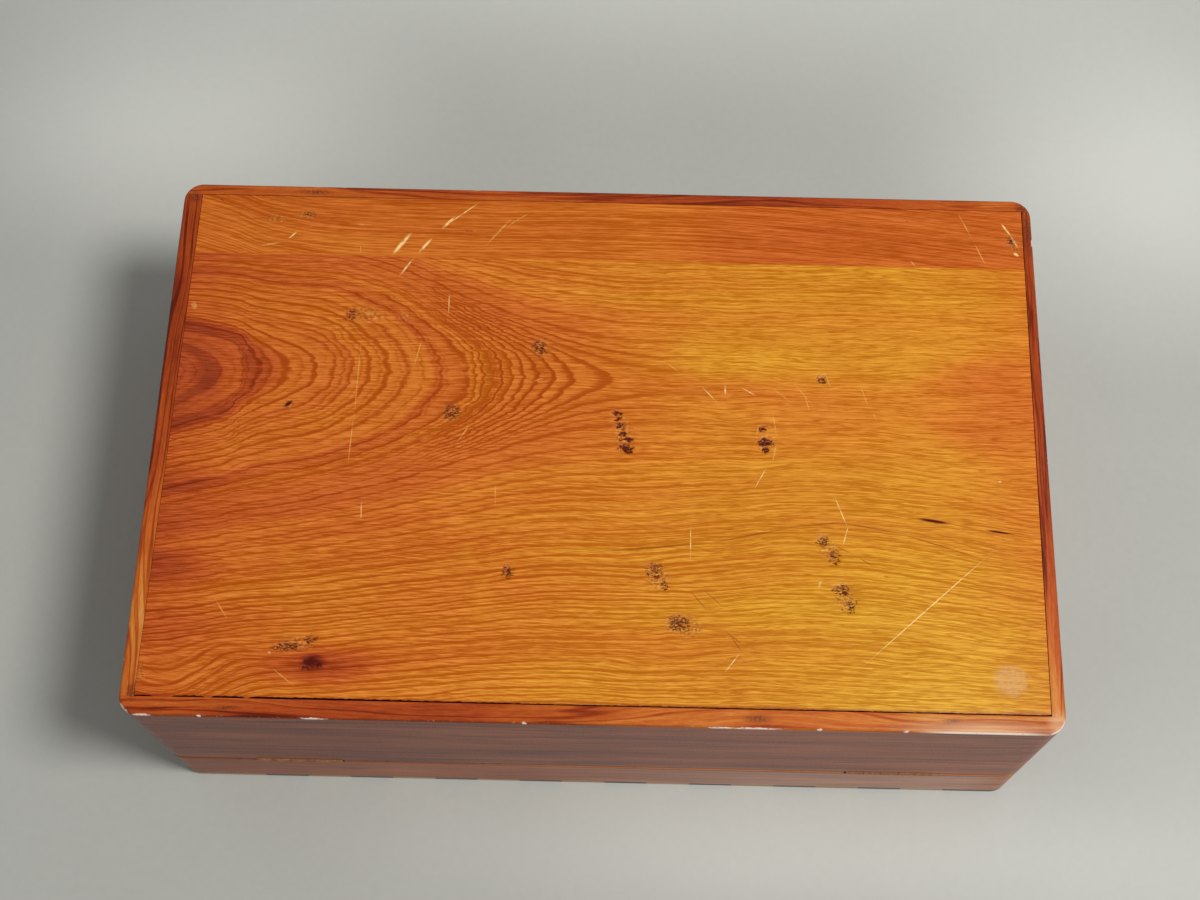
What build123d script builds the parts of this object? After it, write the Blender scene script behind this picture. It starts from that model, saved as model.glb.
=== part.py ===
from build123d import *
from math import atan2, cos, degrees, pi, sin
import os

# Marquetry box with a hinged lid, upside down on its lid, as it was photographed.
# Millimetres. +Z is up and z = 0 is the marquetry face of the lid, which lies on the table.
# +X runs along the long side and -Y is the back of the box, where the two hinges are.
# The lid is below, from z = 0 to lid_height. The case stands on it, its bottom boards on top.

# Overall sizes
box_width = 250.0
box_depth = 160.0
box_height = 78.0
lid_height = 24.0
wall_thickness = 9.0
corner_radius = 5.5

# Rims: how much of each wall shows beside the inset boards. The side rims taper.
rim_left_front = 5.3
rim_left_back = 4.1
rim_right_front = 2.6
rim_right_back = 3.8
rim_front = 3.6
rim_back = 5.0

# Inset boards and the shrinkage gaps round them
board_thickness = 5.0
strip_width = 19.4
board_gap_back = 0.5
board_gap_front = 0.1
board_gap_left = 0.12
board_gap_right = 0.2
panel_thickness = 5.0
panel_gap = 0.2

# Edges
rim_rounding = 1.0
seam_bevel = 1.1
inner_edge_break = 0.25
board_edge_break = 0.12
marquetry_edge_break = 0.3

# Marquetry sheet
veneer_thickness = 2.0
border_width = 12.5
first_block_length = 25.3
border_block_length = 12.8
side_block_count = 10
stringing_width = 1.5
medallion_radius = 44.0
medallion_ring_width = 2.0
star_margin = 4.0
star_point_count = 8
star_waist_ratio = 0.5
diamond_length = 30.0
diamond_width = 16.0
diamond_inset_x = 32.0
diamond_inset_y = 22.0

# Hinges
hinge_length = 25.0
hinge_side_distance = 26.8
knuckle_count = 5
knuckle_radius = 1.3
knuckle_gap = 0.15
pin_radius = 0.6
pin_clearance = 0.04
pin_inset = 0.8
leaf_thickness = 0.8
leaf_recess = 0.1
leaf_margin = 0.9
mortise_clearance = 0.3
barrel_clearance = 0.25
lid_open_angle = 104.0

# Hinge screws
screws_per_leaf = 3
screw_length = 8.0
screw_tip_length = 1.5
screw_tip_radius = 0.15
screw_shank_radius = 0.8
screw_head_radius = 1.5
screw_head_flat = 0.1
screw_head_height = 0.8
screw_hole_clearance = 0.05
screw_slot_width = 0.4
screw_slot_depth = 0.35
screw_slot_turn = 25.0
screw_end_distance = 4.0

# Worked out from the sizes above
half_width = box_width / 2
half_depth = box_depth / 2
inner_x = half_width - wall_thickness
inner_y = half_depth - wall_thickness
back_joint = -half_depth + rim_back
front_joint = half_depth - rim_front
board_floor = box_height - board_thickness
panel_top = veneer_thickness + panel_thickness
pin_y = -half_depth + pin_inset
leaf_start = pin_y + knuckle_radius + barrel_clearance
leaf_end = -inner_y - leaf_margin
screw_y = (leaf_start + leaf_end) / 2
hinge_centre_x = half_width - hinge_side_distance - hinge_length / 2
knuckle_pitch = hinge_length / knuckle_count
mortise_half = hinge_length / 2 + mortise_clearance
star_radius = medallion_radius - medallion_ring_width - star_margin
stop_angle = 2 * degrees(atan2(seam_bevel, pin_inset))
hinge_centres = {"left": -hinge_centre_x, "right": hinge_centre_x}
sliver = 1.0


def span_box(x0, x1, y0, y1, z0, z1):
    """A plain block between two corners."""
    return Pos((x0 + x1) / 2, (y0 + y1) / 2, (z0 + z1) / 2) * Box(x1 - x0, y1 - y0, z1 - z0)


def span_rect(x0, x1, y0, y1):
    """A flat rectangle between two corners."""
    return Pos((x0 + x1) / 2, (y0 + y1) / 2) * Rectangle(x1 - x0, y1 - y0)


def prism(outline, z0, z1):
    """An outline pulled up between two heights."""
    return extrude(Plane.XY.offset(z0) * outline, z1 - z0)


def box_outline():
    """The rounded outline that the whole box has, seen from above."""
    return RectangleRounded(box_width, box_depth, corner_radius)


def edges_at(solid, z):
    """The level edges of a solid at one height."""
    return [e for e in solid.edges() if abs(e.center().Z - z) < 1e-6 and e.bounding_box().size.Z < 1e-6]


def along_x(x, y, z, radius, length):
    """A round bar along X."""
    return Pos(x, y, z) * Rot(0, 90, 0) * Cylinder(radius, length)


# Rebates
def inset_outline(left=0.0, right=0.0, back=0.0, front=0.0):
    """The outline inside the rims, drawn in by a gap at each side."""
    back_corners = [
        (half_width - rim_right_back - right, back_joint + back),
        (-half_width + rim_left_back + left, back_joint + back),
    ]
    front_corners = [
        (-half_width + rim_left_front + left, front_joint - front),
        (half_width - rim_right_front - right, front_joint - front),
    ]
    return make_face(Polyline(*back_corners, *front_corners, close=True))


# Walls and rails
def ring(z0, z1):
    """The four walls of the case or the lid as one ring, with its seam edges bevelled."""
    solid = prism(box_outline(), z0, z1)
    if z1 == box_height:
        solid = fillet(edges_at(solid, box_height), rim_rounding)
    solid = chamfer(edges_at(solid, lid_height), seam_bevel)
    hollow = span_box(-inner_x, inner_x, -inner_y, inner_y, z0 - sliver, z1 + sliver)
    opening_edge = [e for e in edges_at(solid - hollow, lid_height) if abs(e.center().Y) < inner_y + 1e-6
                    and abs(e.center().X) < inner_x + 1e-6]
    return chamfer(opening_edge, inner_edge_break)


def case_ring():
    """The case's walls, rebated at the bottom of the box for the boards."""
    solid = ring(lid_height, box_height)
    solid -= prism(inset_outline(), board_floor, box_height + sliver)
    return cut_hinge_seats(solid, 1)


def lid_ring():
    """The lid's rails, rebated for the lid panel."""
    solid = ring(veneer_thickness, lid_height)
    solid -= prism(inset_outline(), veneer_thickness - sliver, panel_top)
    return cut_hinge_seats(solid, -1)


def cut_hinge_seats(solid, side):
    """Cuts leaf mortises, barrel grooves and screw holes, up (side 1) or down (side -1) from the seam."""
    mortise_floor = lid_height + side * (leaf_recess + leaf_thickness)
    low, high = sorted((lid_height - side * sliver, mortise_floor))
    hole_end = leaf_recess + screw_length + screw_hole_clearance
    for centre in hinge_centres.values():
        x0, x1 = centre - mortise_half, centre + mortise_half
        solid -= span_box(x0, x1, -half_depth - sliver, leaf_end, low, high)
        solid -= along_x(centre, pin_y, lid_height, knuckle_radius + barrel_clearance, x1 - x0)
        for x in screw_places(centre):
            hole = Cylinder(screw_shank_radius + screw_hole_clearance, hole_end)
            solid -= Pos(x, screw_y, lid_height + side * hole_end / 2) * hole
    return solid


def walls_of(solid):
    """Parts a ring into its walls: the long walls run full width and the side walls are let into them."""
    far = box_width
    corners = {
        "back": prism(span_rect(-far, far, -far, back_joint), 0, box_height)
        + prism(span_rect(-inner_x, inner_x, back_joint, -inner_y), 0, box_height),
        "front": prism(span_rect(-far, far, front_joint, far), 0, box_height)
        + prism(span_rect(-inner_x, inner_x, inner_y, front_joint), 0, box_height),
        "left": prism(span_rect(-far, -inner_x, back_joint, front_joint), 0, box_height),
        "right": prism(span_rect(inner_x, far, back_joint, front_joint), 0, box_height),
    }
    return {name: solid & region for name, region in corners.items()}


# Boards
def bottom_boards():
    """The wide bottom board, and the narrow strip glued along its front edge."""
    outline = inset_outline(board_gap_left, board_gap_right, board_gap_back, board_gap_front)
    glued = prism(outline, board_floor, box_height)
    glued = chamfer(edges_at(glued, box_height), board_edge_break)
    glue_line = front_joint - strip_width
    wide = glued & span_box(-half_width, half_width, -half_depth, glue_line, 0, box_height)
    strip = glued & span_box(-half_width, half_width, glue_line, half_depth, 0, box_height)
    return wide, strip


def lid_panel():
    """The board that backs the marquetry, in the rebate of the lid's rails."""
    outline = inset_outline(panel_gap, panel_gap, panel_gap, panel_gap)
    return prism(outline, veneer_thickness, panel_top)


# Marquetry
def border_blocks():
    """Light and dark blocks by turns round the edge. Half of the border is the other half turned round."""
    sheet = prism(box_outline(), 0, veneer_thickness)
    sheet = chamfer(edges_at(sheet, 0), marquetry_edge_break)
    ends = [-half_width, -half_width + first_block_length]
    while ends[-1] + border_block_length + border_width < half_width:
        ends.append(ends[-1] + border_block_length)
    ends.append(half_width)
    half = [span_rect(x0, x1, -half_depth, -half_depth + border_width) for x0, x1 in zip(ends, ends[1:])]
    pitch = (box_depth - 2 * border_width) / side_block_count
    for i in range(side_block_count):
        y0 = -half_depth + border_width + i * pitch
        half.append(span_rect(half_width - border_width, half_width, y0, y0 + pitch))
    shades = ([], [])
    for i, outline in enumerate(half):
        for turn in (0, 180):
            shades[i % 2].append(sheet & prism(Rot(0, 0, turn) * outline, 0, veneer_thickness))
    return shades


def stringing(inset):
    """Four thin strips round the field, at a distance from the outer edge."""
    x, y, w = half_width - inset, half_depth - inset, stringing_width
    strips = [span_rect(-x, x, -y, -y + w), span_rect(-x, x, y - w, y)]
    strips += [span_rect(-x, -x + w, -y + w, y - w), span_rect(x - w, x, -y + w, y - w)]
    return strips


def star_halves(turn_side):
    """One half of each ray of the star, split from the centre to the tip."""
    step = 2 * pi / star_point_count
    waist = star_radius * star_waist_ratio
    halves = []
    for i in range(star_point_count):
        tip = (star_radius * cos(i * step), star_radius * sin(i * step))
        between = (i + turn_side / 2) * step
        notch = (waist * cos(between), waist * sin(between))
        halves.append(make_face(Polyline((0, 0), notch, tip, close=True)))
    return halves


def corner_diamonds():
    """A diamond near each corner of the field."""
    x = half_width - border_width - diamond_inset_x
    y = half_depth - border_width - diamond_inset_y
    a, b = diamond_length / 2, diamond_width / 2
    diamond = make_face(Polyline((-a, 0), (0, -b), (a, 0), (0, b), close=True))
    return [Pos(sx * x, sy * y) * diamond for sx in (-1, 1) for sy in (-1, 1)]


def marquetry():
    """The pieces of the marquetry sheet, by node name."""
    field_inset = border_width + 2 * stringing_width
    field_x, field_y = half_width - field_inset, half_depth - field_inset
    light_halves, dark_halves = star_halves(-1), star_halves(1)
    diamonds = corner_diamonds()
    disc = Circle(medallion_radius)
    ground = Circle(medallion_radius - medallion_ring_width)
    outlines = {
        "stringing_light": stringing(border_width),
        "stringing_dark": stringing(border_width + stringing_width),
        "field_veneer": [span_rect(-field_x, field_x, -field_y, field_y) - disc - diamonds],
        "corner_diamonds": diamonds,
        "medallion_ring": [disc - ground],
        "medallion_ground": [ground - (light_halves + dark_halves)],
        "star_light_halves": light_halves,
        "star_dark_halves": dark_halves,
    }
    pieces = {name: [prism(o, 0, veneer_thickness) for o in group] for name, group in outlines.items()}
    pieces["border_light_blocks"], pieces["border_dark_blocks"] = border_blocks()
    return pieces


# Hinges
def screw_places(centre):
    """Where a leaf's screws lie along the hinge."""
    span = hinge_length - 2 * screw_end_distance
    return [centre - span / 2 + i * span / (screws_per_leaf - 1) for i in range(screws_per_leaf)]


def head_cone(spread):
    """The flat and the cone of a countersunk head, on z = 0, made wider by a clearance."""
    cone_height = screw_head_height - screw_head_flat
    cone = Cone(screw_head_radius + spread, screw_shank_radius + spread, cone_height)
    flat = Cylinder(screw_head_radius + spread, screw_head_flat)
    return Pos(0, 0, screw_head_flat / 2) * flat + Pos(0, 0, screw_head_flat + cone_height / 2) * cone


def seated(solid, x, side):
    """Puts a screw or its seat at the leaf's face, pointing up (side 1) or down (side -1)."""
    turned = solid if side > 0 else Rot(180, 0, 0) * solid
    return Pos(x, screw_y, lid_height + side * leaf_recess) * turned


def screw(x, side):
    """A countersunk wood screw with a slotted head."""
    shank_length = screw_length - screw_head_height - screw_tip_length
    shank = Cylinder(screw_shank_radius, shank_length)
    tip = Cone(screw_shank_radius, screw_tip_radius, screw_tip_length)
    solid = head_cone(0) + Pos(0, 0, screw_head_height + shank_length / 2) * shank
    solid += Pos(0, 0, screw_length - screw_tip_length / 2) * tip
    slot = Box(4 * screw_head_radius, screw_slot_width, 2 * screw_slot_depth)
    return seated(solid - Rot(0, 0, screw_slot_turn) * slot, x, side)


def leaf(centre, side):
    """A hinge leaf with its knuckles. The lid's leaf (side -1) has the outer knuckles."""
    start, end = centre - hinge_length / 2, centre + hinge_length / 2
    low, high = sorted(lid_height + side * (leaf_recess + t) for t in (0, leaf_thickness))
    solid = span_box(start, end, leaf_start, leaf_end, low, high)
    for i in range(0 if side < 0 else 1, knuckle_count, 2):
        x0 = start + i * knuckle_pitch + (knuckle_gap / 2 if i > 0 else 0)
        x1 = start + (i + 1) * knuckle_pitch - (knuckle_gap / 2 if i < knuckle_count - 1 else 0)
        solid += along_x((x0 + x1) / 2, pin_y, lid_height, knuckle_radius, x1 - x0)
        solid += span_box(x0, x1, pin_y, leaf_start, low, high)
    solid -= along_x(centre, pin_y, lid_height, pin_radius + pin_clearance, hinge_length + sliver)
    through = Cylinder(screw_shank_radius + screw_hole_clearance, 4 * leaf_thickness)
    for x in screw_places(centre):
        solid -= seated(head_cone(screw_hole_clearance) + through, x, side)
    return solid


def hinge_pin(centre):
    """The pin through all the knuckles."""
    return along_x(centre, pin_y, lid_height, pin_radius, hinge_length)


# The whole box
def all_nodes():
    """Every piece of the box, as lists of solids by node name."""
    nodes = {f"case_{side}_wall": [wall] for side, wall in walls_of(case_ring()).items()}
    nodes.update({f"lid_{side}_rail": [rail] for side, rail in walls_of(lid_ring()).items()})
    wide, strip = bottom_boards()
    nodes["bottom_board"] = [wide]
    nodes["bottom_board_strip"] = [strip]
    nodes["lid_panel"] = [lid_panel()]
    nodes.update(marquetry())
    for end, centre in hinge_centres.items():
        nodes[f"{end}_hinge_case_leaf"] = [leaf(centre, 1)]
        nodes[f"{end}_hinge_lid_leaf"] = [leaf(centre, -1)]
        nodes[f"{end}_hinge_pin"] = [hinge_pin(centre)]
        nodes[f"{end}_hinge_case_screws"] = [screw(x, 1) for x in screw_places(centre)]
        nodes[f"{end}_hinge_lid_screws"] = [screw(x, -1) for x in screw_places(centre)]
    return nodes


os.makedirs("parts", exist_ok=True)
for name, shapes in all_nodes().items():
    solids = [solid for shape in shapes for solid in shape.solids()]
    export_step(solids[0] if len(solids) == 1 else Compound(children=solids), f"parts/{name}.step")
    print(name, len(solids))
print("The seam bevels would meet at", round(stop_angle, 1), "degrees, past the lid's", lid_open_angle)
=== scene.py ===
import bpy
import bmesh
import math
from mathutils import Matrix, Vector, noise


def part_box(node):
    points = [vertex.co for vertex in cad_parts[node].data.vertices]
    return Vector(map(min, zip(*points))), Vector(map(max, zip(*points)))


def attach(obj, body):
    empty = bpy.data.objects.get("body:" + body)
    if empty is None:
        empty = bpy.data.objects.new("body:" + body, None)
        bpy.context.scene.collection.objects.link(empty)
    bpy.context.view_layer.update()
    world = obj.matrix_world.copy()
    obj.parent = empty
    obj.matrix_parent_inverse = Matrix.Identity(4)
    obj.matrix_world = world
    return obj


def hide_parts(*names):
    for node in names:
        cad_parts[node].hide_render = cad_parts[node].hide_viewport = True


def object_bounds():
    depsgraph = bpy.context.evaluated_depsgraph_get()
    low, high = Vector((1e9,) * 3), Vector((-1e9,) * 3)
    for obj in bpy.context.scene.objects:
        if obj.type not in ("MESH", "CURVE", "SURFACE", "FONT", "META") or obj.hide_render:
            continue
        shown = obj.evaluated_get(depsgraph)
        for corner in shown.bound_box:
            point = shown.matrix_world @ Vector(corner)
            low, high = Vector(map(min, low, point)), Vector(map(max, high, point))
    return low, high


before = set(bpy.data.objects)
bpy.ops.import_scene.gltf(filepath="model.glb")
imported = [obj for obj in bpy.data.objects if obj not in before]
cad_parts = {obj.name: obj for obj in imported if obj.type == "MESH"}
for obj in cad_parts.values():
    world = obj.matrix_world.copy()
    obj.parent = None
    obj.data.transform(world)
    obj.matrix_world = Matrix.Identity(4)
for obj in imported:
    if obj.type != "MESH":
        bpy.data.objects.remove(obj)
cad_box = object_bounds()

# Lengths are written in millimetres and points are in the CAD frame.
MM = 0.001

# Camera, found from the box's corners in the photograph
PHOTO_WIDTH = 1200
SENSOR_WIDTH = 36.0
FOCAL_PIXELS = 1749.8
PRINCIPAL_X = 630.0
CAMERA_ELEVATION = 68.25
CAMERA_AZIMUTH = 0.565
CAMERA_ROLL = 0.730
CAMERA_TARGET = (8.16, 28.98, 0.0)
CAMERA_DISTANCE = 571.8

# Lamp, world and floor, in metres
KEY_PLACE = (0.54, -0.2, 1.147)
KEY_TARGET = (0, 0, 0.04)
KEY_SIZE = 0.32
KEY_POWER = 11.2
WORLD_STRENGTH = 0.32
FLOOR_HALF_SIZE = 3.0

# Places read from the frame, in millimetres
HALF_WIDTH, HALF_DEPTH, BOX_TOP = [value / MM for value in cad_box[1]]
BOARD_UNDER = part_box("bottom_board")[0][2] / MM
BACK_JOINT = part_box("case_left_wall")[0][1] / MM
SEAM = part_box("case_back_wall")[0][2] / MM
WALL = HALF_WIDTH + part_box("case_left_wall")[1][0] / MM


def srgb(red, green, blue):
    """A colour written as it shows on a screen, 0 to 255, as the linear colour that shaders take."""
    def linear(value):
        value /= 255
        return value / 12.92 if value <= 0.04045 else ((value + 0.055) / 1.055) ** 2.4
    return (linear(red), linear(green), linear(blue), 1.0)


class Shader:
    """A material's node tree, with short calls for the nodes that the woods and metals use."""

    def __init__(self, name):
        self.material = bpy.data.materials.new(name)
        self.material.use_nodes = True
        self.tree = self.material.node_tree
        self.tree.nodes.clear()
        output = self.tree.nodes.new("ShaderNodeOutputMaterial")
        self.surface = self.tree.nodes.new("ShaderNodeBsdfPrincipled")
        self.tree.links.new(self.surface.outputs[0], output.inputs["Surface"])

    def put(self, socket, value):
        """Links an output to a socket, or sets the socket to a plain value."""
        if isinstance(value, bpy.types.NodeSocket):
            self.tree.links.new(value, socket)
        else:
            socket.default_value = value

    def node(self, kind, inputs=(), **settings):
        made = self.tree.nodes.new(kind)
        for name, value in settings.items():
            setattr(made, name, value)
        for key, value in dict(inputs).items():
            self.put(made.inputs[key], value)
        return made

    def math(self, operation, *values):
        return self.node("ShaderNodeMath", dict(enumerate(values)), operation=operation).outputs[0]

    def add(self, a, b):
        return self.math("ADD", a, b)

    def sub(self, a, b):
        return self.math("SUBTRACT", a, b)

    def mul(self, a, b):
        return self.math("MULTIPLY", a, b)

    def largest(self, a, b):
        return self.math("MAXIMUM", a, b)

    def absolute(self, value):
        return self.math("ABSOLUTE", value)

    def swing(self, field, amount):
        """A noise field, which runs from 0 to 1, as a change to both sides of zero."""
        return self.mul(self.sub(field, 0.5), amount)

    def remap(self, value, low, high, to_low=0.0, to_high=1.0, smooth=True):
        """Carries low to high over to to_low to to_high, and holds the ends outside."""
        kind = "SMOOTHSTEP" if smooth else "LINEAR"
        inputs = {"Value": value, "From Min": low, "From Max": high, "To Min": to_low, "To Max": to_high}
        return self.node("ShaderNodeMapRange", inputs, interpolation_type=kind, clamp=True).outputs[0]

    def vector_math(self, operation, *values):
        return self.node("ShaderNodeVectorMath", dict(enumerate(values)), operation=operation)

    def point(self):
        """The place on the piece in millimetres, which moves with the piece."""
        coordinates = self.node("ShaderNodeTexCoord").outputs["Object"]
        return self.scaled(coordinates, (1 / MM, 1 / MM, 1 / MM))

    def scaled(self, vector, factors):
        return self.vector_math("MULTIPLY", vector, factors).outputs[0]

    def moved(self, vector, offset):
        return self.vector_math("ADD", vector, offset).outputs[0]

    def dot(self, vector, other):
        return self.vector_math("DOT_PRODUCT", vector, other).outputs["Value"]

    def length(self, vector):
        return self.vector_math("LENGTH", vector).outputs["Value"]

    def split(self, vector):
        return self.node("ShaderNodeSeparateXYZ", {0: vector}).outputs[:3]

    def join(self, x, y, z):
        return self.node("ShaderNodeCombineXYZ", {0: x, 1: y, 2: z}).outputs[0]

    def noise(self, vector, scale=1.0, detail=2, roughness=0.5, colour=False):
        inputs = {"Vector": vector, "Scale": scale, "Detail": detail, "Roughness": roughness}
        return self.node("ShaderNodeTexNoise", inputs).outputs["Color" if colour else "Fac"]

    def grain(self, x, y, x_scale, y_scale, layer, detail=2, roughness=0.5):
        """Noise with a scale of its own along each axis; each layer is a different noise."""
        place = self.join(self.mul(x, x_scale), self.mul(y, y_scale), layer)
        return self.noise(place, detail=detail, roughness=roughness)

    def shaken(self, vector, scale, detail, roughness, reach_x, reach_y):
        """The place moved about by noise, by up to half of each reach, in millimetres."""
        field = self.noise(vector, scale, detail, roughness, colour=True)
        shift = self.scaled(self.moved(field, (-0.5, -0.5, -0.5)), (reach_x, reach_y, 0))
        return self.moved(vector, shift)

    def curve(self, value, low, high, points):
        """A smooth curve through (value, result) points, for values from low to high."""
        results = [result for _, result in points]
        bottom, top = min(results), max(results)
        made = self.node("ShaderNodeFloatCurve", {"Value": self.remap(value, low, high, smooth=False)})
        line = made.mapping.curves[0].points
        while len(line) < len(points):
            line.new(0.5, 0.5)
        for place, (at, result) in zip(line, points):
            place.location = ((at - low) / (high - low), (result - bottom) / (top - bottom))
        made.mapping.update()
        return self.add(self.mul(made.outputs[0], top - bottom), bottom)

    def mix(self, factor, a, b):
        made = self.node("ShaderNodeMix", data_type="RGBA")
        self.put(made.inputs["Factor"], factor)
        self.put(made.inputs[6], a)
        self.put(made.inputs[7], b)
        return made.outputs[2]

    def graded(self, colour, change):
        """The colour made paler (to 1.2) or darker (to -1.2), as fine fibres differ in varnished wood."""
        held = self.remap(change, -1.2, 1.2, -1.2, 1.2, smooth=False)
        factor = self.vector_math("MULTIPLY_ADD", held, FIBRE_CONTRAST, (1.0, 1.0, 1.0)).outputs[0]
        return self.scaled(colour, factor)

    def ramp(self, value, stops):
        made = self.node("ShaderNodeValToRGB", {0: value})
        elements = made.color_ramp.elements
        while len(elements) < len(stops):
            elements.new(0.5)
        for element, (at, colour) in zip(elements, stops):
            element.position = at
            element.color = colour
        return made.outputs[0]

    def bump(self, height, strength):
        """A bump from a height in millimetres."""
        inputs = {"Height": height, "Distance": MM, "Strength": strength}
        self.put(self.surface.inputs["Normal"], self.node("ShaderNodeBump", inputs).outputs[0])

    def finish(self, colour, roughness, **sockets):
        self.put(self.surface.inputs["Base Color"], colour)
        self.put(self.surface.inputs["Roughness"], roughness)
        for name, value in sockets.items():
            self.put(self.surface.inputs[name.replace("_", " ")], value)
        return self.material


# How much the red, green and blue of varnished wood change from a dark fibre to a pale one
FIBRE_CONTRAST = (0.22, 0.36, 0.80)

# Gloss
VARNISH_ROUGHNESS = 0.34
WORN_ROUGHNESS = 0.6
VARNISH_SPECULAR = 0.18
WALL_SPECULAR = 0.2
VENEER_SPECULAR = 0.4
BRASS_METALLIC = 0.3

# Wood of the wide bottom board
# The saw ran out of the trunk, so the rings are parabolas that open to the left. A ring is
# where the distance from the pith is the same: the pith lies PITH_DEPTH below the face and
# runs along PITH_LINE. Each pair is (x, millimetres).
PITH_LINE = [
    (-125, 18.0), (-90, 20.4), (-70, 21.0), (-40, 19.6), (0, 19.3), (50, 18.9), (90, 18.0), (125, 16.2),
]
PITH_DEPTH = [
    (-125, 0.0), (-116, 6.0), (-110, 8.8), (-105, 11.0), (-100, 14.6), (-93, 16.9), (-82, 19.2),
    (-73, 22.4), (-60, 27.2), (-47, 32.0), (-40, 34.0), (-29, 36.6), (-15, 38.8), (0, 39.9),
    (50, 40.2), (72, 40.2), (92, 39.4), (107, 38.2), (125, 36.6),
]
LOWER_RING_SHARE = 0.853
RING_SPACING = 1.9
FINE_SPACING = 0.52
LAST_RING = 110

# How much darker the wood is at each distance from the pith, as (millimetres, share)
RING_SHADE = [
    (0, 0.30), (4, 0.24), (7, 0.22), (8.5, 0.33), (10, 0.22), (12.6, 0.20), (14.4, 0.32), (16.0, 0.30),
    (17.6, 0.13), (19.4, 0.05), (22.5, 0.09), (24, 0.04), (27, 0.05), (29, 0.08), (31, 0.06),
    (32, 0.18), (34, 0.16), (35.5, 0.09), (37, 0.15), (40, 0.17), (43, 0.19), (46, 0.13), (48, 0.07),
    (50, 0.11), (54, 0.06), (58, 0.10), (62, 0.03), (70, 0.06), (76, 0.02), (82, 0.07), (88, 0.0),
    (110, 0.0),
]

# How bold the year lines are at each distance from the pith
LINE_STRENGTH = [
    (0, 0.25), (7, 0.3), (13, 0.5), (18, 0.95), (36, 1.0), (40, 0.6), (46, 0.6), (50, 0.95), (110, 1.0),
]

# Tones of the varnished wood from its darkest line to its palest gold
BOARD_TONES = [
    (0.00, srgb(108, 36, 14)),
    (0.15, srgb(135, 49, 20)),
    (0.30, srgb(163, 64, 26)),
    (0.45, srgb(191, 86, 32)),
    (0.60, srgb(205, 106, 35)),
    (0.75, srgb(213, 127, 37)),
    (0.88, srgb(217, 149, 37)),
    (1.00, srgb(223, 169, 46)),
]

# The board's tone from left to right, and broad patches: (x, y, half width, half height, turn, tone)
BOARD_FADE = [
    (-125, 0.52), (-112, 0.61), (-97, 0.68), (-70, 0.70), (-25, 0.78), (15, 0.85), (60, 0.87),
    (100, 0.85), (125, 0.67),
]
BOARD_PATCHES = [
    (114, 14, 30, 26, 0, -0.17),
    (62, 12, 72, 18, 0, -0.13),
    (30, 17, 44, 6, -4, -0.10),
    (104, 22, 30, 8, 14, -0.09),
    (104, 4, 30, 8, -28, -0.08),
    (34, -64, 50, 18, 0, -0.06),
    (-104, -58, 30, 14, 0, -0.07),
    (96, -62, 84, 44, 0, 0.10),
    (-82, -48, 40, 16, 0, 0.08),
    (-116, -39, 22, 7, 0, -0.20),
    (-114, -14, 24, 7, 0, -0.12),
    (-31, -46, 5, 10, 0, 0.08),
    (-35, -33, 4, 5, 0, 0.08),
    (-82, -38, 6, 4, 0, 0.08),
    (-112, 17, 6, 9, 20, -0.14),
    (-72, -66, 24, 8, 0, -0.30),
    (-74.6, -64.6, 4.6, 3.2, 0, -0.45),
]

# Places that bend the rings, as (x, y, half width, half height), and by how many millimetres
KNOT_PULL = (-112, -74, 26, 17)
KNOT_BEND = 7.0
HUMP = (66, -30, 62, 48)
HUMP_BEND = 5.0


def ring_distance(s, x, y):
    """Distance from the pith, in millimetres, which is the same all along a ring."""
    across = s.sub(y, s.curve(x, -HALF_WIDTH, HALF_WIDTH, PITH_LINE))
    depth = s.curve(x, -HALF_WIDTH, HALF_WIDTH, PITH_DEPTH)
    upper = s.math("GREATER_THAN", across, 0.0)
    share = s.add(LOWER_RING_SHARE, s.mul(upper, 1 - LOWER_RING_SHARE))
    squared = s.add(s.mul(share, s.mul(across, across)), s.mul(depth, depth))
    return s.math("SQRT", squared)


def wobble(s, x, y, x_scale, y_scale, amount, detail=1):
    """A gentle shift in millimetres, either way, that changes slowly along the fibres."""
    return s.swing(s.grain(x, y, x_scale, y_scale, 0.0, detail), 2 * amount)


def year_lines(s, distance, spacing, seed, start, least):
    """One line to each ring, dark at its outer edge, and each ring with a strength of its own."""
    turns = s.add(s.math("DIVIDE", distance, spacing), seed)
    within = s.math("FRACT", turns)
    ring_number = s.math("FLOOR", turns)
    chance = s.node("ShaderNodeTexWhiteNoise", {"W": ring_number}, noise_dimensions="1D").outputs["Value"]
    slow_rise = s.mul(s.remap(within, 0.0, 0.86, smooth=False), 0.2)
    rise = s.add(slow_rise, s.mul(s.remap(within, start, 0.86), 0.8))
    fall = s.remap(within, 0.88, 1.0, 1.0, 0.0)
    return s.mul(s.mul(rise, fall), s.remap(chance, 0.0, 1.0, least, 1.0, smooth=False))


def thin_lines(s, field, width):
    """Dark where a noise field passes its middle value: thin lines, unevenly spaced."""
    return s.remap(s.absolute(s.sub(field, 0.5)), 0.0, width, 1.0, 0.0)


def ellipse_reach(s, point, x, y, half_width, half_height, turn=0.0):
    """Distance from the middle of an ellipse on the face, 1 at its edge."""
    offset = s.moved(point, (-x, -y, 0))
    if turn == 0:
        return s.length(s.scaled(offset, (1 / half_width, 1 / half_height, 0)))
    cosine, sine = math.cos(math.radians(turn)), math.sin(math.radians(turn))
    along = s.dot(offset, (cosine / half_width, sine / half_width, 0))
    across = s.dot(offset, (-sine / half_height, cosine / half_height, 0))
    return s.length(s.join(along, across, 0.0))


def patch(s, point, x, y, half_width, half_height, turn=0.0):
    """A soft ellipse on the face, 1 in the middle and 0 at its edge."""
    return s.remap(ellipse_reach(s, point, x, y, half_width, half_height, turn), 0.0, 1.0, 1.0, 0.0)


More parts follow.
